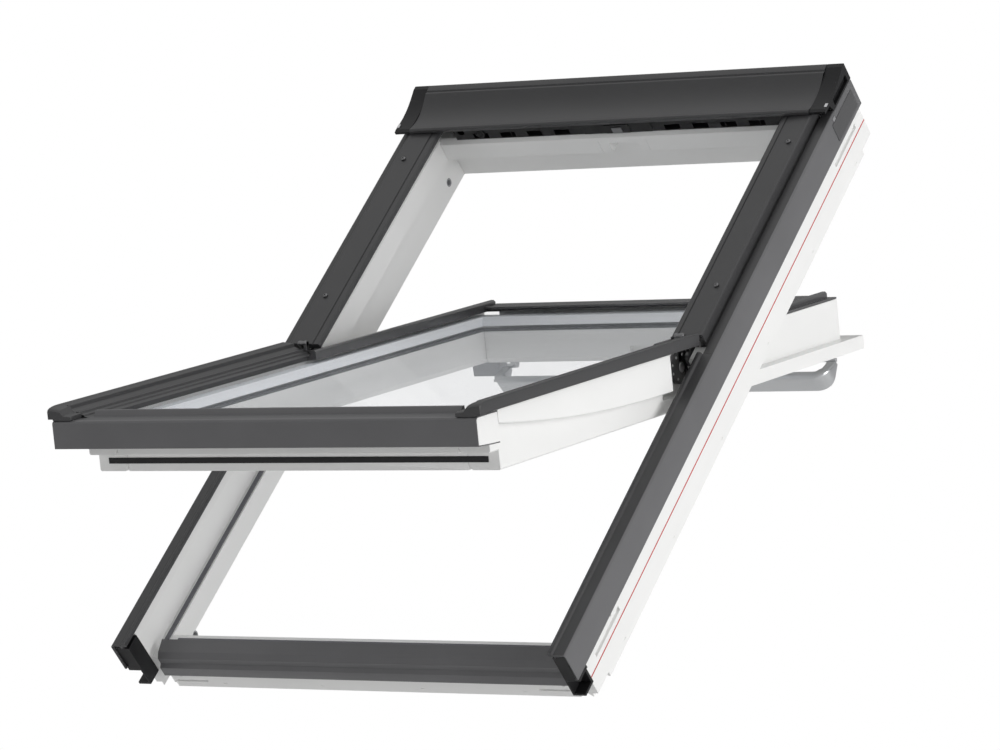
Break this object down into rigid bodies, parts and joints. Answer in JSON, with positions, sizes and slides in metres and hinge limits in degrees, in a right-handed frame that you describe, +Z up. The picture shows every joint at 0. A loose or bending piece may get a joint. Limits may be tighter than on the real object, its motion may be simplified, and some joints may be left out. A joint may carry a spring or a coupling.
{
  "type": "roof window",
  "caption": "Centre-pivot roof window with a white moulded frame, dark aluminium cladding and hood, glazed tilting sash, control bar, ventilation flap and barrel bolt.",
  "frame": {"origin": "centre of the roof opening, in the plane in which the fixing brackets clamp the roof", "axes": "+X across the window to the right as seen from outside, +Y horizontal into the building, +Z up; the window plane is tipped 46 degrees about X, and the sash stands 35.5 degrees open"},
  "size_m": [0.7994, 1.1508, 0.9563],
  "materials": {
    "white_lacquer": "white satin lacquer on moulded polyurethane",
    "dark_cladding": "satin dark grey aluminium",
    "black_plastic": "matt",
    "gasket": "matt",
    "steel": "zinc plated",
    "aluminium": "satin anodised",
    "grey_plastic": "satin",
    "glass": "clear"
  },
  "bodies": {
    "frame": {"frame_jamb_left": "white_lacquer", "frame_jamb_right": "white_lacquer", "frame_head": "white_lacquer", "frame_sill": "white_lacquer", "side_cladding_left": "dark_cladding", "side_cladding_right": "dark_cladding", "sill_cladding": "dark_cladding", "sill_strip": "grey_plastic", "corner_piece_left": "black_plastic", "corner_piece_right": "black_plastic", "upper_cover_left": "dark_cladding", "upper_cover_right": "dark_cladding", "hood": "dark_cladding", "hood_cap_left": "black_plastic", "hood_cap_right": "black_plastic", "hood_clips": "steel", "vent_housing": "black_plastic", "striker": "steel", "upper_gasket": "gasket", "lower_gasket": "gasket", "hinge_frame_left": "steel", "hinge_frame_right": "steel", "bolt_bushes": "grey_plastic", "frame_screws": "steel"},
    "sash": {"sash_stile_left": "white_lacquer", "sash_stile_right": "white_lacquer", "sash_top_rail": "white_lacquer", "sash_bottom_rail": "white_lacquer", "outer_pane": "glass", "inner_pane": "glass", "pane_spacer": "aluminium", "glass_bedding": "gasket", "sash_fascia": "dark_cladding", "sash_cover_left": "dark_cladding", "sash_cover_right": "dark_cladding", "sash_trim_left": "dark_cladding", "sash_trim_right": "dark_cladding", "sash_top_trim": "dark_cladding", "hinge_sash_left": "steel", "hinge_sash_right": "steel", "bolt_housing": "grey_plastic", "bar_brackets": "steel", "latch_case": "steel", "sash_screws": "steel"},
    "barrel_bolt": {"barrel_bolt": "steel"},
    "control_bar": {"control_bar": "aluminium"},
    "vent_flap": {"vent_flap": "dark_cladding"},
    "latch": {"latch_bolt": "steel"}
  },
  "joints": [
    {"name": "sash_pivot", "type": "hinge", "parent": "frame", "child": "sash", "pos_m": [0, -0.07481, 0.07224], "axis": [-1, 0, 0], "range_deg": [-35.5, 116.8]},
    {"name": "bolt_slide", "type": "slide", "parent": "sash", "child": "barrel_bolt", "axis": [-1, 0, 0], "range_m": [0, 0.015]},
    {"name": "bar_pull", "type": "hinge", "parent": "sash", "child": "control_bar", "pos_m": [0, 0.43267, 0.05036], "axis": [1, 0, 0], "range_deg": [0, 45]},
    {"name": "flap_tilt", "type": "hinge", "parent": "sash", "child": "vent_flap", "pos_m": [0, 0.39136, 0.14156], "axis": [1, 0, 0], "range_deg": [0, 18]},
    {"name": "latch_slide", "type": "slide", "parent": "sash", "child": "latch", "axis": [0, -0.9833, -0.1822], "range_m": [0, 0.009]}
  ],
  "couplings": [
    {"joint": "flap_tilt", "follows": "bar_pull", "ratio": 0.4},
    {"joint": "latch_slide", "follows": "bar_pull", "m_per_rad": 0.011459}
  ]
}
